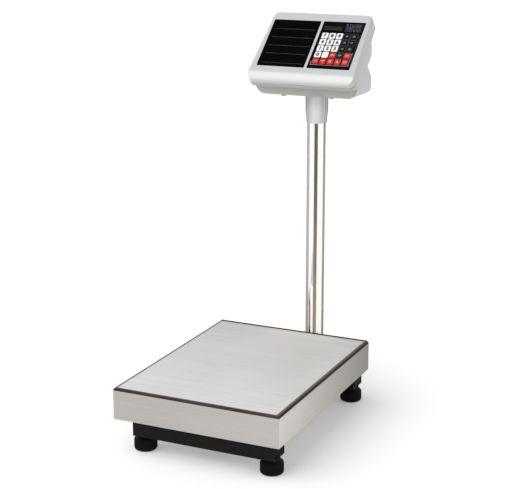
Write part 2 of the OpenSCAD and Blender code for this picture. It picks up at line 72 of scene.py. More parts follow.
NODES = frame["nodes"]

# The head's face leans back: NORMAL points out of it, SLOPE up along it
PRESS = next(Vector(j["axis"]) for j in frame["joints"] if j["name"] == "key_7_press")
NORMAL = -PRESS.normalized()
SLOPE = Vector((0, NORMAL.z, -NORMAL.y))

# ---------------------------------------------------------------- material nodes


class Mat:
    """A node material being built: the shader, and short ways to add the nodes that feed it."""

    def __init__(self, name, **sockets):
        self.mat = bpy.data.materials.new(name)
        self.mat.use_nodes = True
        self.tree = self.mat.node_tree
        self.shader = self.tree.nodes["Principled BSDF"]
        source = self.node("ShaderNodeTexCoord")
        self.coords, self.normal = source.outputs["Object"], source.outputs["Normal"]
        for socket, value in sockets.items():
            self.shader.inputs[socket.replace("_", " ")].default_value = value

    def node(self, kind, **props):
        made = self.tree.nodes.new(kind)
        for key, value in props.items():
            setattr(made, key, value)
        return made

    def link(self, a, b):
        self.tree.links.new(a, b)

    def stretch(self, scale):
        made = self.node("ShaderNodeVectorMath", operation="MULTIPLY")
        self.link(self.coords, made.inputs[0])
        made.inputs[1].default_value = scale
        return made.outputs[0]

    def noise(self, scale, detail=2.0, rough=0.5, source=None):
        made = self.node("ShaderNodeTexNoise")
        made.inputs["Scale"].default_value = scale
        made.inputs["Detail"].default_value = detail
        made.inputs["Roughness"].default_value = rough
        self.link(source or self.coords, made.inputs["Vector"])
        return made.outputs["Fac"]

    def spread(self, value, low, high, at=(0.3, 0.7)):
        """Maps a noise value from the range at to low..high."""
        made = self.node("ShaderNodeMapRange")
        for key, number in zip(("From Min", "From Max", "To Min", "To Max"), (*at, low, high)):
            made.inputs[key].default_value = number
        self.link(value, made.inputs["Value"])
        return made.outputs["Result"]

    def math(self, how, a, b):
        made = self.node("ShaderNodeMath", operation=how)
        for i, v in enumerate((a, b)):
            if isinstance(v, (int, float)):
                made.inputs[i].default_value = v
            else:
                self.link(v, made.inputs[i])
        return made.outputs[0]

    def blend(self, factor, a, b):
        """Colour a where factor is 0, colour b where it is 1. Each is a colour or a socket."""
        made = self.node("ShaderNodeMix", data_type="RGBA")
        self.link(factor, made.inputs["Factor"])
        for key, v in (("A", a), ("B", b)):
            socket = [s for s in made.inputs if s.name == key and s.type == "RGBA"][0]
            if isinstance(v, (tuple, list)):
                socket.default_value = (*v, 1.0)
            else:
                self.link(v, socket)
        return [s for s in made.outputs if s.type == "RGBA"][0]

    def colour(self, socket):
        self.link(socket, self.shader.inputs["Base Color"])

    def roughness(self, socket):
        self.link(socket, self.shader.inputs["Roughness"])

    def bump(self, heights, distance):
        """heights: list of (value, strength), stacked one on the other."""
        previous = None
        for value, strength in heights:
            made = self.node("ShaderNodeBump")
            made.inputs["Strength"].default_value = strength
            made.inputs["Distance"].default_value = distance
            self.link(value, made.inputs["Height"])
            if previous:
                self.link(previous, made.inputs["Normal"])
            previous = made.outputs["Normal"]
        self.link(previous, self.shader.inputs["Normal"])


def moulded(name, rgb, rough, grain=1500.0, depth=0.25, vary=0.03, painted_shading=(), **sockets):
    """Moulded plastic or rubber: a fine spark grain, slow colour drift and faint handling marks.
    painted_shading: (direction, start, end, colour), painted light and shade: faces that look that way are
    drawn towards that colour, growing from start to end."""
    m = Mat(name, **sockets)
    slow = m.noise(14.0, 3.0)
    marks = m.noise(90.0, 4.0, 0.6)
    dark = tuple(max(0.0, c * (1 - vary) - 0.002) for c in rgb)
    light = tuple(min(1.0, c * (1 + vary) + 0.002) for c in rgb)
    shown = m.blend(m.spread(slow, 0.0, 1.0), dark, light)
    # Painted light and shade: each face's colour is pulled towards a given colour by the way it faces
    for direction, start, end, painted_colour in painted_shading:
        facing = m.node("ShaderNodeVectorMath", operation="DOT_PRODUCT")
        m.link(m.normal, facing.inputs[0])
        facing.inputs[1].default_value = direction
        shown = m.blend(m.spread(facing.outputs["Value"], 0.0, 1.0, (start, end)), shown, painted_colour)
    m.colour(shown)
    m.roughness(m.math("ADD", m.spread(marks, rough - 0.05, rough + 0.05), m.spread(slow, -0.03, 0.03)))
    m.bump([(m.noise(grain, 2.0), depth), (m.noise(60.0, 1.0), depth * 0.4)], 0.0001)
    return m.mat


SIDEWAYS = 0.7  # a face whose normal has more than this along X looks sideways
PAINTED_LIGHT_Y, PAINTED_SHADE_Y = -0.26, 0.12  # where the pan's painted light is strongest and where its painted shade is deepest, in metres
PAINTED_LIGHT_GAIN = (0.92, 0.25)  # painted light: brightness at the back, and how much the front adds to it
RIGHT_PAINTED_LIGHT_GAIN = (0.66, 1.06)  # the same painted light and shade for faces that look right


def brushed(name, rgb, rough, fine=1400.0, long=9.0, depth=0.25, vary=0.05, metallic=1.0, side=None, top=0.0):
    """Steel brushed along its length: streaks run along X, and along Y on faces that look sideways.
    side is the colour below the height top, in metres, a painted shade that makes the skirts duller; such
    steel also gets painted light that grows towards the front, and on faces that look right painted shade
    towards the back."""
    m = Mat(name, Metallic=metallic)
    parts = m.node("ShaderNodeSeparateXYZ")
    m.link(m.normal, parts.inputs[0])
    sideways = m.math("GREATER_THAN", m.math("ABSOLUTE", parts.outputs["X"], 0.0), SIDEWAYS)
    pick = m.node("ShaderNodeMix", data_type="VECTOR")
    m.link(sideways, pick.inputs["Factor"])
    vectors = [s for s in pick.inputs if s.type == "VECTOR" and s.name in "AB"]
    m.link(m.stretch((long, fine, fine)), vectors[0])
    m.link(m.stretch((fine, long, fine)), vectors[1])
    along = [s for s in pick.outputs if s.type == "VECTOR"][0]
    fine_streak = m.noise(1.0, 4.0, 0.65, along)
    broad = m.noise(0.16, 3.0, 0.6, along)
    streak = m.math("ADD", m.math("MULTIPLY", fine_streak, 0.55), m.math("MULTIPLY", broad, 0.45))
    slow = m.noise(7.0, 3.0)
    dark = tuple(c * (1 - vary) for c in rgb)
    light = tuple(min(1.0, c * (1 + vary)) for c in rgb)
    mixed = m.math("ADD", m.spread(streak, 0.0, 0.7), m.spread(slow, 0.0, 0.3))
    shown = m.blend(mixed, dark, light)
    if side:
        height = m.node("ShaderNodeSeparateXYZ")
        m.link(m.coords, height.inputs[0])
        # The skirts below top take the darker side colour: painted shade
        low = m.blend(mixed, tuple(c * (1 - vary) for c in side), tuple(c * (1 + vary) for c in side))
        shown = m.blend(m.math("GREATER_THAN", height.outputs["Z"], top), low, shown)
        # Painted light: the colour is scaled up towards the front, more steeply on faces that look right
        near = m.spread(height.outputs["Y"], 1.0, 0.0, (PAINTED_LIGHT_Y, PAINTED_SHADE_Y))
        painted_light_gain = m.node("ShaderNodeMix", data_type="FLOAT")
        m.link(m.math("GREATER_THAN", parts.outputs["X"], SIDEWAYS), painted_light_gain.inputs["Factor"])
        for socket, (base, added) in (("A", PAINTED_LIGHT_GAIN), ("B", RIGHT_PAINTED_LIGHT_GAIN)):
            m.link(m.math("ADD", m.math("MULTIPLY", near, added), base), painted_light_gain.inputs[socket])
        scaled = m.node("ShaderNodeVectorMath", operation="SCALE")
        m.link(shown, scaled.inputs[0])
        m.link(painted_light_gain.outputs["Result"], scaled.inputs["Scale"])
        shown = scaled.outputs[0]
    m.colour(shown)
    m.roughness(m.math("ADD", m.spread(streak, rough - 0.05, rough + 0.06), m.spread(slow, -0.02, 0.03)))
    m.bump([(streak, depth)], 0.00006)
    return m.mat


def polished(name, rgb, rough, metallic=1.0, vary=0.03, scuffs=0.05):
    """Polished metal: nearly a mirror, with fine wiping marks and slow clouding."""
    m = Mat(name, Metallic=metallic)
    wipe = m.noise(1.0, 3.0, 0.6, m.stretch((260.0, 260.0, 2200.0)))
    cloud = m.noise(25.0, 3.0)
    dark = tuple(c * (1 - vary) for c in rgb)
    m.colour(m.blend(m.spread(cloud, 0.0, 1.0), dark, rgb))
    m.roughness(m.math("ADD", m.spread(wipe, rough, rough + scuffs), m.spread(cloud, 0.0, scuffs * 0.5)))
    m.bump([(wipe, 0.05)], 0.00002)
    return m.mat


def coated(name, rgb, rough, shine):
    """Powder coat: orange peel, a fine sparkle of roughness, and slow drift of colour."""
    m = Mat(name, Specular_IOR_Level=shine)
    peel = m.noise(420.0, 2.0)
    slow = m.noise(18.0, 3.0)
    m.colour(m.blend(m.spread(slow, 0.0, 1.0), tuple(c * 0.85 for c in rgb), tuple(c * 1.2 for c in rgb)))
    m.roughness(m.spread(m.noise(150.0, 4.0), rough - 0.06, rough + 0.08))
    m.bump([(peel, 0.35)], 0.0002)
    return m.mat


def printed(name, rgb, rough=0.5):
    """Ink on the overlay: slightly uneven coverage."""
    m = Mat(name)
    m.colour(m.blend(m.spread(m.noise(700.0, 3.0), 0.0, 1.0), tuple(c * 0.9 for c in rgb), rgb))
    m.roughness(m.spread(m.noise(300.0), rough - 0.05, rough + 0.05))
    return m.mat


# Painted light and shade for the head's and collar's plastic, by the way each face looks
SHELL_PAINTED_SHADING = [((0.30, 0.92, -0.20), -0.72, 0.1, (0.43, 0.44, 0.44)),  # painted shade round its rim
               ((0, -1, 0), 0.72, 1.0, (0.68, 0.69, 0.68)),  # painted highlight on the upright lip
               (tuple(NORMAL), 0.95, 1.0, (0.475, 0.485, 0.485))]  # painted shade on the flat face, a little greyer
REAR_PAINTED_SHADE = [(tuple(-SLOPE), 0.3, 0.9, (0.385, 0.385, 0.35))]  # painted shade underneath, warmer and darker
COLLAR_PAINTED_SHADE = [((0.92, 0.38, 0), 0.1, 0.85, (0.30, 0.305, 0.31)),  # painted shade: both sides fall off to grey
                ((-0.92, -0.38, 0), 0.3, 0.95, (0.36, 0.37, 0.37))]
SHELL = moulded("shell_abs_painted_shading", (0.545, 0.555, 0.555), 0.44, 1500.0, 0.22, 0.015, SHELL_PAINTED_SHADING)
# The rear shell is a darker grey than the front: partly its own tone, partly painted shade for the head's
# right side and underside
SHELL_REAR = moulded("shell_rear_abs_painted_shade", (0.465, 0.48, 0.475), 0.46, 1300.0, 0.3, 0.02, REAR_PAINTED_SHADE)
COLLAR = moulded("collar_abs_painted_shade", (0.66, 0.68, 0.675), 0.45, 1300.0, 0.25, 0.03, COLLAR_PAINTED_SHADE)
# The pan gets painted light towards its front, and its skirts below top a darker painted shade
PAN = brushed("pan_brushed_painted_light", (0.59, 0.583, 0.57), 0.52, metallic=0.3, depth=0.6, vary=0.17, top=0.11,
              side=(0.365, 0.348, 0.329))
TRIM = moulded("trim_strip", (0.042, 0.035, 0.032), 0.65, 900.0, 0.3, 0.2, Specular_IOR_Level=0.05)
BEAD = moulded("trim_bead", (0.135, 0.115, 0.108), 0.65, 900.0, 0.3, 0.15, Specular_IOR_Level=0.1)
PAINT = coated("powder_coat", (0.004, 0.004, 0.0045), 0.46, 0.12)
PRIMER = coated("grey_primer", (0.18, 0.18, 0.19), 0.55, 0.4)
RUBBER = moulded("foot_rubber", (0.003, 0.003, 0.0035), 0.6, 700.0, 0.5, 0.3, Specular_IOR_Level=0.1)
TUBE = polished("tube_polished", (0.95, 0.925, 0.90), 0.07)
ZINC = polished("zinc_plate", (0.62, 0.62, 0.60), 0.28, 1.0, 0.12, 0.1)
CELL = brushed("cell_milled", (0.78, 0.78, 0.79), 0.34, 900.0, 20.0, 0.3, 0.06)
CABLE = moulded("cable_jacket", (0.02, 0.02, 0.022), 0.5, 600.0, 0.3, 0.2)
SOCKET = moulded("socket_nylon", (0.014, 0.014, 0.016), 0.45, 1100.0, 0.4, 0.2, Specular_IOR_Level=0.3)
CHASSIS = coated("chassis_paint", (0.10, 0.10, 0.11), 0.45, 0.4)
PAPER = moulded("label_paper", (0.80, 0.80, 0.77), 0.7, 2600.0, 0.3, 0.02)
CARD = moulded("core_card", (0.42, 0.30, 0.19), 0.8, 900.0, 0.5, 0.15)
BATTERY = moulded("battery_wrap", (0.05, 0.11, 0.35), 0.3, 300.0, 0.2, 0.1)


def board_material():
    """Solder mask over copper tracks, with a faint glass weave."""
    m = Mat("solder_mask", Coat_Weight=0.4)
    tracks = m.node("ShaderNodeTexBrick")
    tracks.inputs["Scale"].default_value = 160.0
    tracks.inputs["Mortar Size"].default_value = 0.03
    m.link(m.coords, tracks.inputs["Vector"])
    m.colour(m.blend(tracks.outputs["Fac"], (0.010, 0.10, 0.045), (0.03, 0.20, 0.09)))
    m.roughness(m.spread(m.noise(400.0), 0.25, 0.4))
    m.bump([(m.noise(2200.0), 0.2)], 0.00005)
    return m.mat


def acrylic(name, rgb, rough):
    """Gloss black window or overlay: faint wiping marks in an almost clean surface."""
    m = Mat(name, Specular_IOR_Level=0.08)
    smear = m.noise(1.0, 4.0, 0.6, m.stretch((22.0, 60.0, 60.0)))
    m.colour(m.blend(m.spread(smear, 0.0, 1.0), tuple(c * 0.8 for c in rgb), tuple(c * 1.25 for c in rgb)))
    m.roughness(m.spread(smear, rough, rough + 0.06))
    m.bump([(m.noise(35.0, 1.0), 0.04)], 0.0001)
    return m.mat


BOARD = board_material()
WINDOW = acrylic("window_acrylic", (0.0015, 0.0015, 0.0019), 0.14)
PANEL = acrylic("panel_overlay", (0.0022, 0.0022, 0.0025), 0.30)
KEY_WHITE = moulded("key_white", (0.80, 0.80, 0.79), 0.38, 1800.0, 0.15, 0.015)
KEY_RED = moulded("key_red", (0.48, 0.030, 0.032), 0.40, 1800.0, 0.15, 0.05, Specular_IOR_Level=0.2)
KEY_BLACK = moulded("key_black", (0.006, 0.006, 0.008), 0.36, 1800.0, 0.15, 0.2, Specular_IOR_Level=0.2)
KEY_BLUE = moulded("key_blue", (0.011, 0.012, 0.024), 0.36, 1800.0, 0.15, 0.1, Specular_IOR_Level=0.2)
KEY_GREEN = moulded("key_green", (0.002, 0.019, 0.010), 0.36, 1800.0, 0.15, 0.1, Specular_IOR_Level=0.2)
INK_BLACK = printed("ink_black", (0.004, 0.004, 0.004), 0.6)
INK_WHITE = printed("ink_white", (0.62, 0.60, 0.58))
INK_GREY = printed("ink_grey", (0.34, 0.34, 0.35))
INK_DIM = printed("ink_dim", (0.12, 0.123, 0.123))
INK_PURPLE = printed("ink_purple", (0.12, 0.11, 0.165))
INK_CREAM = printed("ink_cream", (0.70, 0.50, 0.44))

# ---------------------------------------------------------------- mesh helpers


def place(name, mesh_or_bm, body, material, smooth=40.0, stands_for=()):
    """Makes a shown piece of a finished mesh and lets it ride on a body."""
    if isinstance(mesh_or_bm, bmesh.types.BMesh):
        mesh = bpy.data.meshes.new(name)
        bmesh.ops.recalc_face_normals(mesh_or_bm, faces=mesh_or_bm.faces)
        mesh_or_bm.to_mesh(mesh)
        mesh_or_bm.free()
    else:
        mesh = mesh_or_bm
    mesh.materials.clear()
    mesh.materials.append(material)
    mesh.shade_smooth()
    mesh.set_sharp_from_angle(angle=math.radians(smooth))
    piece = bpy.data.objects.new(name, mesh)
    SCENE.collection.objects.link(piece)
    even = piece.modifiers.new("even_shading", "WEIGHTED_NORMAL")
    even.keep_sharp, even.weight = True, 90
    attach(piece, body)
    if stands_for:
        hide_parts(*stands_for)
    return piece


def body_of(node):
    return NODES[node]["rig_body"]


def slot_of(node):
    return next(s["material_slot"] for s in frame["record"]["subparts"] if s["node"] == node)


def bevel(bm, edges, width, segments=3, profile=0.5):
    bmesh.ops.bevel(bm, geom=edges, offset=width, offset_type="OFFSET", segments=segments,
                    profile=profile, affect="EDGES", clamp_overlap=True)


def dress(node, material, width=0.5, segments=2, angle=35.0, smooth=40.0):
    """A finished copy of a CAD node: its flat faces made whole and its sharp edges rounded."""
    bm = bmesh.new()
    bm.from_mesh(NODES[node].data)
    bmesh.ops.remove_doubles(bm, verts=bm.verts, dist=2e-6)
    bmesh.ops.dissolve_limit(bm, angle_limit=math.radians(0.6), verts=bm.verts, edges=bm.edges)
    if width:
        sharp = [e for e in bm.edges if len(e.link_faces) == 2 and e.calc_face_angle(0) > math.radians(angle)]
        bevel(bm, sharp, width * MM, segments)
    return place(node + "_finish", bm, body_of(node), material, smooth, [node])


def lathe(points, steps, matrix=None, ribs=None):
    """Turns (radius, height) points, in mm, round Z. ribs(angle, radius, height) changes the radius."""
    bm = bmesh.new()
    rings = []
    for r, z in points:
        ring = []
        for k in range(steps):
            a = 2 * math.pi * k / steps
            rr = ribs(a, r, z) if ribs else r
            ring.append(bm.verts.new((rr * MM * math.cos(a), rr * MM * math.sin(a), z * MM)))
        rings.append(ring)
    for a, b in zip(rings, rings[1:]):
        for k in range(steps):
            bm.faces.new((a[k], a[(k + 1) % steps], b[(k + 1) % steps], b[k]))
    if points[0] != points[-1]:
        bm.faces.new(rings[0])
        bm.faces.new(rings[-1])
    else:
        bmesh.ops.remove_doubles(bm, verts=bm.verts, dist=1e-7)
    if matrix:
        bm.transform(matrix)
    return bm


def corner(cx, cy, r, a0, a1, steps):
    return [(cx + r * math.cos(math.radians(a0 + (a1 - a0) * i / steps)),
             cy + r * math.sin(math.radians(a0 + (a1 - a0) * i / steps))) for i in range(steps + 1)]


def rounded_outline(w, h, r, steps=5):
    x, y = w / 2 - r, h / 2 - r
    return (corner(x, y, r, 0, 90, steps) + corner(-x, y, r, 90, 180, steps)
            + corner(-x, -y, r, 180, 270, steps) + corner(x, -y, r, 270, 360, steps))


def moved(outline, x, y):
    return [(x + a, y + b) for a, b in outline]


def plate(bm, outline, low, high, edge=0.0, steps=2, dome=0.0):
    """Adds a plate of that outline (mm) from low to high, its upper edge rounded by edge."""
    n = len(outline)
    cx = sum(p[0] for p in outline) / n
    cy = sum(p[1] for p in outline) / n
    w = max(abs(p[0] - cx) for p in outline)
    h = max(abs(p[1] - cy) for p in outline)

    def ring(inset, z):
        kx, ky = (1 - inset / w) * MM, (1 - inset / h) * MM
        return [bm.verts.new((cx * MM + (x - cx) * kx, cy * MM + (y - cy) * ky, z * MM)) for x, y in outline]

    rings = [ring(0, low)]
    if edge:
        for i in range(steps + 1):
            a = math.pi / 2 * i / steps
            rings.append(ring(edge * (1 - math.cos(a)), high - dome - edge + edge * math.sin(a)))
    else:
        rings.append(ring(0, high))
    if dome:
        rings.append(ring(min(w, h) * 0.45, high - dome * 0.3))
        rings.append(ring(min(w, h) * 0.75, high))
    for a, b in zip(rings, rings[1:]):
        for k in range(n):
            bm.faces.new((a[k], a[(k + 1) % n], b[(k + 1) % n], b[k]))
    bm.faces.new(list(reversed(rings[0])))
    bm.faces.new(rings[-1])


def bar(bm, x, y, w, h, low, high, r=0.0):
    """Adds a flat bar centred on x, y."""
    square = [(-w / 2, -h / 2), (w / 2, -h / 2), (w / 2, h / 2), (-w / 2, h / 2)]
    plate(bm, moved(rounded_outline(w, h, r, 3) if r else square, x, y), low, high)


def stroke(bm, points, width, low, high, closed=False):
    """Adds a thin flat line through points."""
    count = len(points) if closed else len(points) - 1
    for i in range(count):
        (x0, y0), (x1, y1) = points[i], points[(i + 1) % len(points)]
        length = math.hypot(x1 - x0, y1 - y0)
        ux, uy = (x1 - x0) / length * width / 2, (y1 - y0) / length * width / 2
        plate(bm, [(x0 - ux + uy, y0 - uy - ux), (x1 + ux + uy, y1 + uy - ux),
                   (x1 + ux - uy, y1 + uy + ux), (x0 - ux - uy, y0 - uy + ux)], low, high)


def cut(piece_bm, cutter_bms):
    """Cuts closed cutters out of a closed mesh and returns the result as a bmesh."""
    objects = []
    for i, bm in enumerate([piece_bm, *cutter_bms]):
        mesh = bpy.data.meshes.new(f"cut_{i}")
        bmesh.ops.recalc_face_normals(bm, faces=bm.faces)
        bm.to_mesh(mesh)
        bm.free()
        made = bpy.data.objects.new(f"cut_{i}", mesh)
        SCENE.collection.objects.link(made)
        objects.append(made)
    for other in objects[1:]:
        mod = objects[0].modifiers.new("cut", "BOOLEAN")
        mod.operation, mod.solver, mod.object = "DIFFERENCE", "EXACT", other
    bpy.context.view_layer.update()
    result = bmesh.new()
    result.from_object(objects[0], bpy.context.evaluated_depsgraph_get())
    for made in objects:
        mesh = made.data
        bpy.data.objects.remove(made)
        bpy.data.meshes.remove(mesh)
    return result


# ---------------------------------------------------------------- the head's own frame

window_low, window_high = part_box("display_window")
WINDOW_W = (window_high.x - window_low.x) / MM
DISPLAY_X = -43.25  # middle of the display window, across the head
PANEL_X = 49.0  # middle of the keypad panel
GLASS_Y, GLASS_H = 56.0, 112.0  # middle and height of both
GLASS_THICK = 1.6
HEAD_X = (window_low.x + window_high.x) / 2 - DISPLAY_X * MM
HEAD_ZERO = Vector((HEAD_X, window_low.y, window_low.z + GLASS_THICK * MM * NORMAL.z))
HEAD = Matrix((Vector((1, 0, 0)), SLOPE, NORMAL)).transposed().to_4x4()
HEAD.translation = HEAD_ZERO


def in_head(bm):
    bm.transform(HEAD)
    return bm


# ---------------------------------------------------------------- head front

FACE_UP, FACE_LOW, TOP_W, BOTTOM_W, SPLIT = 133.0, 25.0, 195.0, 208.0, -20.0


def face_ring(grow):
    """Outline of the face moved inwards by grow, with the same points for every grow."""
    top, low = FACE_UP - grow, grow - FACE_LOW
    wt, wb = TOP_W / 2 - grow, BOTTOM_W / 2 - grow
    rt, rb = max(11 - grow * 0.6, 2.0), max(13 - grow * 0.6, 3.0)
    right = corner(wb - rb, low + rb, rb, -90, 0, 10)
    rise = top - rt - low - rb
    side = [(wb + (wt - wb) * t, low + rb + rise * t) for t in (0.02, 0.05, 0.08, 0.12, 0.2, 0.4, 0.6, 0.8)]
    right += side + corner(wt - rt, top - rt, rt, 0, 90, 8)
    return right + [(-x, y) for x, y in reversed(right)]


def lip(y):
    """Height of the face above its lower edge, where it rolls over into an upright lip."""
    t = (-7.0 - y) / 18.0
    return 0.0 if t <= 0 else -13.5 * (1 - math.sqrt(max(0.0, 1 - min(t, 1.0) ** 2.2)))


def head_front():
    radius = 5.5
    bm = bmesh.new()
    rings = [[bm.verts.new((x * MM, y * MM, SPLIT * MM)) for x, y in face_ring(g)] for g in (0.6, 0.0)]
    for v in rings[1]:
        v.co.z += 0.6 * MM
    grows = [radius * (1 - math.cos(math.radians(a))) for a in (0, 15, 30, 45, 60, 75, 90)]
    for g in grows + [6.5, 8, 10, 12, 14, 16, 18.4]:
        roll = -radius + math.sqrt(max(0.0, radius**2 - max(0.0, radius - g) ** 2))
        rings.append([bm.verts.new((x * MM, y * MM, min(roll, lip(y)) * MM)) for x, y in face_ring(g)])
    n = len(rings[0])
    for a, b in zip(rings, rings[1:]):
        for k in range(n):
            bm.faces.new((a[k], a[(k + 1) % n], b[(k + 1) % n], b[k]))
    bm.faces.new(list(reversed(rings[0])))
    bm.faces.new(rings[-1])
    cutters = []
    for x, w, r in ((DISPLAY_X, WINDOW_W + 0.5, 2.4), (PANEL_X, 81.5, 2.0)):
        cutter = bmesh.new()
        plate(cutter, moved(rounded_outline(w, GLASS_H + 0.5, r), x, GLASS_Y), -30, 6)
        cutters.append(cutter)
    bm = cut(bm, cutters)
    rim = [e for e in bm.edges if all(abs(v.co.z) < 1e-5 for v in e.verts) and len(e.link_faces) == 2
           and e.calc_face_angle(0) > 1.2]
    bevel(bm, rim, 0.45 * MM, 2)
    return place("front_shell_finish", in_head(bm), "head", SHELL, 50.0, ["front_shell"])


head_front()
dress("rear_shell", SHELL_REAR, 1.6, 4, 28.0, 50.0)

# ---------------------------------------------------------------- display window and keypad


def window():
    bm = bmesh.new()
    plate(bm, moved(rounded_outline(WINDOW_W, GLASS_H, 2.2), DISPLAY_X, GLASS_Y), -GLASS_THICK, 0.0, 0.35)
    place("display_window_finish", in_head(bm), "head", WINDOW, 40.0, ["display_window"])
    lines = bmesh.new()
    for share in (0.20, 0.38, 0.56, 0.73, 0.93):
        bar(lines, DISPLAY_X + 1.5, GLASS_H * (1 - share), WINDOW_W - 12, 0.3, -0.02, 0.05)
    place("display_lines", in_head(lines), "head", INK_DIM, 30.0)


window()
dress("keypad_panel", PANEL, 0.0)

KEY_STEP_X, KEY_STEP_Y = 14.1, 15.1
KEY_COLS = [20.5 + KEY_STEP_X * i for i in range(5)]
KEY_ROWS = [77.4 - KEY_STEP_Y * j for j in range(5)]
KEYS = [["key_7", "key_8", "key_9", "key_item", "key_price"],
        ["key_4", "key_5", "key_6", "key_date", "key_unit"],
        ["key_1", "key_2", "key_3", "key_memory", "key_code"],
        ["key_0", "key_dot", "key_clear", "key_add", "key_total"],
        ["key_zero", "key_tare", "key_hold", "key_feed", "key_print"]]
KEY_LOOKS = {"key_white": (KEY_WHITE, INK_BLACK), "key_black": (KEY_BLACK, INK_GREY),
             "key_red": (KEY_RED, INK_CREAM), "key_blue": (KEY_BLUE, INK_GREY),
             "key_green": (KEY_GREEN, INK_GREY)}
KEY_TOP = 0.9  # height of the keys over the face
DIGIT_SIZE = 10.0
SIGN_SCALE = 1.2
INK_FILM = (-0.03, 0.03)  # printing lies this far into and out of the face that carries it


def circle(r, count, x=0.0, y=0.0):
    turns = [2 * math.pi * k / count for k in range(count)]
    return [(x + r * math.cos(a), y + r * math.sin(a)) for a in turns]


def digit(text, size):
    """A numeral as a flat closed mesh, centred on zero, in mm."""
    curve = bpy.data.curves.new("digit", "FONT")
    curve.body, curve.size, curve.extrude, curve.offset = text, size, 0.03, 0.55
    curve.align_x, curve.align_y = "CENTER", "CENTER"
    curve.resolution_u = 3
    holder = bpy.data.objects.new("digit", curve)
    SCENE.collection.objects.link(holder)
    bpy.context.view_layer.update()
    flat = bpy.data.meshes.new_from_object(holder.evaluated_get(bpy.context.evaluated_depsgraph_get()))
    bm = bmesh.new()
    bm.from_mesh(flat)
    bpy.data.objects.remove(holder)
    bpy.data.meshes.remove(flat)
    bmesh.ops.remove_doubles(bm, verts=bm.verts, dist=1e-5)
    middle = [(min(c) + max(c)) / 2 for c in zip(*[v.co[:2] for v in bm.verts])]
    bm.transform(Matrix.Scale(MM, 4) @ Matrix.Translation((-middle[0], -middle[1], 0)))
    return bm


def sign(bm, name):
    """Generic marks for the function keys."""
    z = INK_FILM
    if name in ("key_clear", "key_total"):
        stroke(bm, [(-2.2, 0.9), (2.2, 0.9)], 0.8, *z)
        stroke(bm, [(-2.2, -0.9), (2.2, -0.9)], 0.8, *z)
    elif name == "key_add":
        stroke(bm, [(-2.4, 0), (2.4, 0)], 0.9, *z)
        stroke(bm, [(0, -2.4), (0, 2.4)], 0.9, *z)
    elif name == "key_zero":
        stroke(bm, [(-2.8, 0), (-0.9, 0)], 0.8, *z)
        stroke(bm, [(0.9, 0), (2.8, 0)], 0.8, *z)
        stroke(bm, [(0, -1.7), (0, 1.7)], 0.7, *z)
    elif name == "key_tare":
        stroke(bm, [(-2.6, 1.1), (2.6, 1.1)], 0.8, *z)
        stroke(bm, [(0, 1.1), (0, -2.0)], 0.8, *z)
    elif name == "key_hold":
        stroke(bm, [(-1.2, -1.8), (-1.2, 1.8)], 0.9, *z)
        stroke(bm, [(1.2, -1.8), (1.2, 1.8)], 0.9, *z)
    elif name == "key_feed":
        plate(bm, [(-2.2, -1.5), (2.2, -1.5), (0, 1.9)], *z)
    elif name == "key_print":
        stroke(bm, [(-2.2, -1.5), (2.2, -1.5), (2.2, 1.5), (-2.2, 1.5)], 0.6, *z, closed=True)
    else:
        seed = sum(ord(c) for c in name)
        bar(bm, -0.4 + 0.2 * (seed % 4), 1.0, 3.6 + 0.5 * (seed % 3), 0.7, *z)
        bar(bm, 0.3 - 0.2 * (seed % 3), -0.9, 2.4 + 0.6 * (seed % 4), 0.7, *z)


def keys():
    for j, row in enumerate(KEYS):
        for i, name in enumerate(row):
            slot = slot_of(name)
            body, ink = KEY_LOOKS[slot]
            x, y = KEY_COLS[i], KEY_ROWS[j]
            bm = bmesh.new()
            plate(bm, moved(rounded_outline(11.8, 13, 1.3, 4), x, y), -1.65, KEY_TOP, 0.3, 3, 0.1)
            plate(bm, moved(rounded_outline(13.4, 14.6, 0.8, 2), x, y), -2.6, -1.7)
            place(name + "_cap", in_head(bm), name, body, 45.0, [name])
            last = name[4:]
            bm = digit(last, DIGIT_SIZE) if last.isdigit() else bmesh.new()
            if name == "key_dot":
                plate(bm, circle(0.95, 12), *INK_FILM)
            elif not last.isdigit():
                sign(bm, name)
                bm.transform(Matrix.Diagonal((SIGN_SCALE, SIGN_SCALE, 1.0, 1.0)))
            bm.transform(Matrix.Translation((x * MM, y * MM, (KEY_TOP + 0.02) * MM)))
            place(name + "_mark", in_head(bm), name, ink, 30.0)


keys()


def small_print(bm, x0, x1, y0, y1, rows, gap, high, seed):
    """Rows of short bars that stand for small printing."""
    step = (y1 - y0) / rows
    for r in range(rows):
        x, k = x0, seed + r * 7
        while x < x1 - 1.2:
            k = (k * 31 + 17) % 101
            w = min(1.2 + (k % 5) * 0.9, x1 - x)
            bar(bm, x + w / 2, y0 + (r + 0.5) * step, w, high, -0.03, 0.04)
            x += w + gap + (k % 3) * 0.3


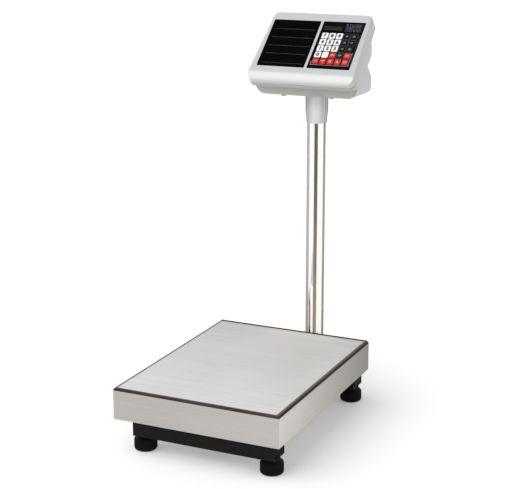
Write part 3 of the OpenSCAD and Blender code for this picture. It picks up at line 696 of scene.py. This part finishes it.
def panel_print():
    # The panel's printing: outlines of the dark keys, the red group's border and small marks
    bm = bmesh.new()
    for j, row in enumerate(KEYS):
        for i, name in enumerate(row):
            if slot_of(name) in ("key_black", "key_green"):
                pts = moved(rounded_outline(13.1, 14.2, 1.6, 3), KEY_COLS[i], KEY_ROWS[j])
                stroke(bm, pts, 0.4, *INK_FILM, closed=True)
    small_print(bm, 14, 48, 91, 101, 3, 0.9, 0.7, 5)
    small_print(bm, 86.3, 88.2, 14, 84, 16, 0.5, 0.8, 3)
    place("panel_outlines", in_head(bm), "head", INK_DIM, 30.0)
    bm = bmesh.new()
    small_print(bm, 54, 85, 88.5, 108, 6, 1.1, 1.3, 11)
    place("panel_purple_print", in_head(bm), "head", INK_PURPLE, 30.0)
    bm = bmesh.new()
    left, right = KEY_COLS[0] - 8.0, KEY_COLS[4] + 7.6
    low, high = KEY_ROWS[4] - 8.6, KEY_ROWS[4] + 7.2
    stroke(bm, [(left, high - 8), (left, low), (right, low), (right, KEY_ROWS[3] + 7.4)], 0.45, *INK_FILM)
    place("panel_red_border", in_head(bm), "head", INK_CREAM, 30.0)


panel_print()

# ---------------------------------------------------------------- collar and column

tube_low, tube_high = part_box("column_tube")
COLUMN = (tube_low + tube_high) / 2
collar_low, collar_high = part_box("head_collar")
TUBE_R = 18.0
COLLAR_BORE = TUBE_R + 0.05
RIB_AT = (335, 349, 205)  # degrees from +X
RIB_WIDE, RIB_HIGH = 5.0, 0.6  # degrees, mm


def collar():
    z = collar_low.z / MM
    top = collar_high.z / MM - 3.2
    outer = [(18.3, z), (19.0, z), (19.35, z + 0.4), (19.5, z + 3), (19.75, z + 8), (20.3, z + 13),
             (21.0, z + 17.5), (21.4, z + 22), (21.5, z + 28), (21.5, top),
             (COLLAR_BORE, top), (COLLAR_BORE, z + 1.0), (18.3, z)]

    def ribs(a, r, h):
        # Two upright ribs at the right, one at the left, where the collar's halves meet
        if r < 19.2:
            return r
        near = min(abs((math.degrees(a) - c + 180) % 360 - 180) for c in RIB_AT)
        return r if near < RIB_WIDE / 2 else r - RIB_HIGH

    bm = lathe(outer, 180, Matrix.Translation((COLUMN.x, COLUMN.y, 0)), ribs)
    place("collar_finish", bm, "head", COLLAR, 35.0, ["head_collar"])


collar()


def tube():
    low, high, bore = tube_low.z / MM, tube_high.z / MM, TUBE_R - 1.5
    pts = [(bore, low), (TUBE_R - 0.4, low), (TUBE_R, low + 0.4), (TUBE_R, high - 0.4),
           (TUBE_R - 0.3, high), (bore, high), (bore, low)]
    bm = lathe(pts, 160, Matrix.Translation((COLUMN.x, COLUMN.y, 0)))
    place("column_finish", bm, "base", TUBE, 40.0, ["column_tube"])


tube()
dress("column_bracket", PAINT, 1.2, 3)
dress("column_screws", ZINC, 0.3)

# ---------------------------------------------------------------- pan

dress("pan", PAN, 0.8, 3)
dress("pan_trim", TRIM, 0.25, 2)


def trim_bead():
    """The strip's raised inner beads: a wider one at the right, a taller dark one at the back."""
    rim, wide, right_wide = 2.6, 2.4, 4.2
    low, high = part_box("pan")
    cy, top = (low.y + high.y) / 2 / MM, high.z / MM
    x, y = (high.x - low.x) / 2 / MM - rim, (high.y - low.y) / 2 / MM - rim
    inner = y - wide
    for name, x0, x1, y0, y1, tall, material in (
            ("front", -x, x, -y, -inner, 0.6, BEAD),
            ("back", -x, x, inner, y, 1.5, TRIM),
            ("left", -x, wide - x, -inner, inner, 0.6, BEAD),
            ("right", x - right_wide, x, -inner, inner, 0.6, BEAD)):
        bm = bmesh.new()
        plate(bm, [(x0, cy + y0), (x1, cy + y0), (x1, cy + y1), (x0, cy + y1)], top - 0.5, top + tall, 0.4)
        place("trim_bead_" + name, bm, body_of("pan"), material, 35.0)


trim_bead()

# ---------------------------------------------------------------- base

for node in ("front_crossbar", "rear_crossbar"):
    dress(node, PAINT, 2.2, 4)
dress("spine_beam", PAINT, 1.8, 3)


def end_plugs():
    """Ribbed plastic plugs in the crossbars' ends."""
    for node in ("front_crossbar", "rear_crossbar"):
        low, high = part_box(node)
        cy, cz = (low.y + high.y) / 2 / MM, (low.z + high.z) / 2 / MM
        for side, x in (("left", low.x), ("right", high.x)):
            bm = bmesh.new()
            plate(bm, rounded_outline(36, 26, 2.5), -1.0, 0.0, 0.0)
            for k in range(5):
                bar(bm, 0, -8.8 + 4.4 * k, 28, 1.3, -0.5, 0.02, 0.5)
            turn = Matrix.Rotation(math.radians(90 if side == "right" else -90), 4, "Y")
            shift = Matrix.Translation((x, cy * MM, cz * MM))
            bm.transform(shift @ turn @ Matrix.Rotation(math.radians(90), 4, "Z"))
            place(f"{node}_plug_{side}", bm, "base", SOCKET, 35.0)


end_plugs()


def feet():
    def ribs(a, r, z):
        if r < 18.5 or z < 3.0 or z > 19.5:
            return r
        return r - 0.9 * (0.5 - 0.5 * math.cos(a * 36)) ** 2

    for node in ("foot_front_left", "foot_front_right", "foot_rear_left", "foot_rear_right"):
        low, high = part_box(node)
        pts = [(0.01, 0), (13.0, 0), (14.6, 0.3)] + corner(14.6, 5, 5.0, -80, 0, 6)
        pts += [(19.6, 10), (19.6, 17.6), (19.2, 19.2), (17.6, 21.2), (15.6, 22.8), (14.3, 24.0),
                (13.85, 25.4), (13.8, 27.5), (4.0, 27.7), (4.0, 53.0), (3.4, 53.5), (0.01, 53.5)]
        matrix = Matrix.Translation(((low.x + high.x) / 2, (low.y + high.y) / 2, 0))
        bm = lathe(pts, 216, matrix, ribs)
        place(node + "_finish", bm, body_of(node), RUBBER, 35.0, [node])


feet()
dress("base_fasteners", ZINC, 0.3)
dress("load_cell", CELL, 0.5)
dress("load_frame_spine", PRIMER, 1.2, 3)
dress("load_frame_rails", PRIMER, 1.2, 3)
dress("pan_pads", RUBBER, 0.5)
dress("overload_stops", ZINC, 0.3)

# ---------------------------------------------------------------- inside and back of the head

dress("signal_cable", CABLE, 0.0, smooth=60.0)
dress("head_screws", ZINC, 0.25)
dress("display_board", BOARD, 0.2)
dress("main_board", BOARD, 0.2)
dress("battery", BATTERY, 1.0, 3)
dress("power_switch", SOCKET, 0.3)
dress("power_socket", SOCKET, 0.4)
dress("inlet_pins", ZINC, 0.2)
dress("printer_door", SHELL_REAR, 0.5, 3)
dress("printer_chassis", CHASSIS, 0.3)
dress("label_roll", PAPER, 0.3)
dress("platen_roller", RUBBER, 0.2)

# Turns a plate drawn in (-X, Z) so that it lies on the head's rear step, its thickness along Y
ON_STEP = Matrix(((-1, 0, 0, 0), (0, 0, 1, 0), (0, 1, 0, 0), (0, 0, 0, 1)))


def on_step(bm, x=0.0, y=0.0, z=0.0, tilt=0.0):
    turn = Matrix.Rotation(math.radians(tilt), 4, "X")
    bm.transform(Matrix.Translation((x * MM, y * MM, z * MM)) @ turn @ ON_STEP)
    return in_head(bm)


def rear_details():
    grip = bmesh.new()
    for k in range(4):
        bar(grip, 0, 2.4 * k, 26, 1.1, 51.8, 52.5, 0.5)
    place("door_grip", on_step(grip, 56, 0, -60), body_of("printer_door"), SHELL_REAR, 35.0)
    screws = bmesh.new()
    for side in (-1, 1):
        plate(screws, circle(1.5, 16, 27.2 * side), 53.7, 54.5, 0.3)
    place("inlet_screws", on_step(screws, -40, 0, -66), "head", ZINC, 35.0)
    marks = bmesh.new()
    bar(marks, 0, 5.2, 0.7, 3.0, 4.4, 4.75)
    stroke(marks, circle(1.3, 12, 0.0, -5.2), 0.55, 4.4, 4.75, closed=True)
    place("rocker_marks", on_step(marks, -57, 50, -66, -8), body_of("power_switch"), INK_WHITE, 30.0)
    core = lathe([(6.1, -20.3), (7.4, -20.3), (7.4, 20.3), (6.1, 20.3), (6.1, -20.3)], 64)
    across = Matrix.Rotation(math.radians(90), 4, "Y")
    core.transform(Matrix.Translation((56 * MM, 26 * MM, -71 * MM)) @ across)
    place("roll_core", in_head(core), body_of("label_roll"), CARD, 35.0)


rear_details()

# ---------------------------------------------------------------- camera, light and floor


def look(obj, target):
    obj.rotation_mode = "QUATERNION"
    obj.rotation_quaternion = (Vector(target) - obj.location).to_track_quat("-Z", "Y")


CAMERA_AT = (0.9376, -2.0381, 0.9042)
CAMERA_AIM = (0.0301, -0.0686, 0.3302)
LENS_MM = 91.32


def camera():
    data = bpy.data.cameras.new("camera")
    data.lens, data.sensor_width = LENS_MM, 36.0
    data.clip_start, data.clip_end = 0.05, 60.0
    made = bpy.data.objects.new("camera", data)
    made.location = CAMERA_AT
    SCENE.collection.objects.link(made)
    look(made, CAMERA_AIM)
    SCENE.camera = made


def flag(name, angle, width, low, high, rgb, away=0.062, glow=0.0, fade=None):
    """An upright card beside the column, seen only by reflections, that draws a line down the tube.
    angle is its direction from the column, in degrees from +X. width is in millimetres, the rest in metres.
    fade is (height, height, colour): the card fades to that colour from the second height down."""
    bm = bmesh.new()
    plate(bm, rounded_outline(width, (high - low) / MM, 2), -0.5, 0.5)
    mesh = bpy.data.meshes.new(name)
    bm.to_mesh(mesh)
    bm.free()
    m = Mat(name, Roughness=0.95, Specular_IOR_Level=0.0, Emission_Color=(*rgb, 1.0), Emission_Strength=glow)
    shown = m.blend(m.noise(9.0), tuple(c * 0.9 for c in rgb), tuple(c * 1.1 for c in rgb))
    if fade:
        centre = (low + high) / 2
        parts = m.node("ShaderNodeSeparateXYZ")
        m.link(m.coords, parts.inputs[0])
        foot = m.spread(parts.outputs["Y"], 1.0, 0.0, (fade[0] - centre, fade[1] - centre))
        shown = m.blend(foot, shown, fade[2])
        m.link(m.blend(foot, (0, 0, 0), fade[2]), m.shader.inputs["Emission Color"])
    m.colour(shown)
    mesh.materials.append(m.mat)
    made = bpy.data.objects.new(name, mesh)
    a = math.radians(angle)
    out = Vector((math.cos(a), math.sin(a), 0))
    made.location = Vector((COLUMN.x, COLUMN.y, (low + high) / 2)) + out * away
    SCENE.collection.objects.link(made)
    made.rotation_mode = "QUATERNION"
    made.rotation_quaternion = out.to_track_quat("Z", "Y")
    made.visible_camera = made.visible_diffuse = made.visible_shadow = made.visible_transmission = False


def sky():
    """A bright white wall all round that falls off to a dim ceiling."""
    world = bpy.data.worlds.new("studio")
    world.use_nodes = True
    tree = world.node_tree
    coords = tree.nodes.new("ShaderNodeTexCoord")
    parts = tree.nodes.new("ShaderNodeSeparateXYZ")
    tree.links.new(coords.outputs["Generated"], parts.inputs[0])
    ramp = tree.nodes.new("ShaderNodeValToRGB")
    ramp.color_ramp.interpolation = "EASE"
    ramp.color_ramp.elements[0].position, ramp.color_ramp.elements[0].color = 0.5, (1, 1, 1, 1)
    ramp.color_ramp.elements[1].position, ramp.color_ramp.elements[1].color = 0.9, (0.12, 0.12, 0.125, 1)
    tree.links.new(parts.outputs["Z"], ramp.inputs["Fac"])
    tree.links.new(ramp.outputs["Color"], tree.nodes["Background"].inputs["Color"])
    tree.nodes["Background"].inputs["Strength"].default_value = 1.05
    SCENE.world = world


def overhead(name, direction, strength, spread):
    """A very large, far soft light that reflections don't see."""
    data = bpy.data.lights.new(name, "SUN")
    data.energy, data.angle = strength, math.radians(spread)
    made = bpy.data.objects.new(name, data)
    made.location = Vector(direction) * 3
    SCENE.collection.objects.link(made)
    look(made, (0, 0, 0))
    made.visible_glossy = False


def studio():
    sky()
    SCENE.view_settings.view_transform = "Standard"
    overhead("key", (-0.38, -0.42, 0.82), 2.1, 70)
    facing = math.degrees(math.atan2(CAMERA_AT[1] - COLUMN.y, CAMERA_AT[0] - COLUMN.x))
    top = 0.552  # the cards end at the collar's top
    flag("column_flag", facing - 5, 40, 0.05, top, (0.19, 0.15, 0.125), glow=0.4,
         fade=(0.10, 0.38, (0.295, 0.25, 0.215)))
    flag("left_flag", facing - 119, 94, 0.06, top, (0.46, 0.46, 0.45), glow=0.22)
    flag("right_flag", facing + 98, 50, 0.06, top, (0.36, 0.36, 0.35))
    flag("low_flag", facing - 10, 150, 0.06, 0.16, (0.80, 0.78, 0.76), 0.08, 0.6)
    bm = bmesh.new()
    bmesh.ops.create_grid(bm, x_segments=2, y_segments=2, size=30.0)
    mesh = bpy.data.meshes.new("floor")
    bm.to_mesh(mesh)
    bm.free()
    m = Mat("floor_paper", Specular_IOR_Level=0.0, Emission_Color=(1, 1, 1, 1), Emission_Strength=0.28)
    m.colour(m.blend(m.noise(2.0, 2.0), (0.70, 0.70, 0.70), (0.72, 0.72, 0.72)))
    m.roughness(m.spread(m.noise(40.0), 0.85, 0.95))
    mesh.materials.append(m.mat)
    floor = bpy.data.objects.new("floor", mesh)
    floor.location.z = -0.0002
    SCENE.collection.objects.link(floor)


camera()
studio()
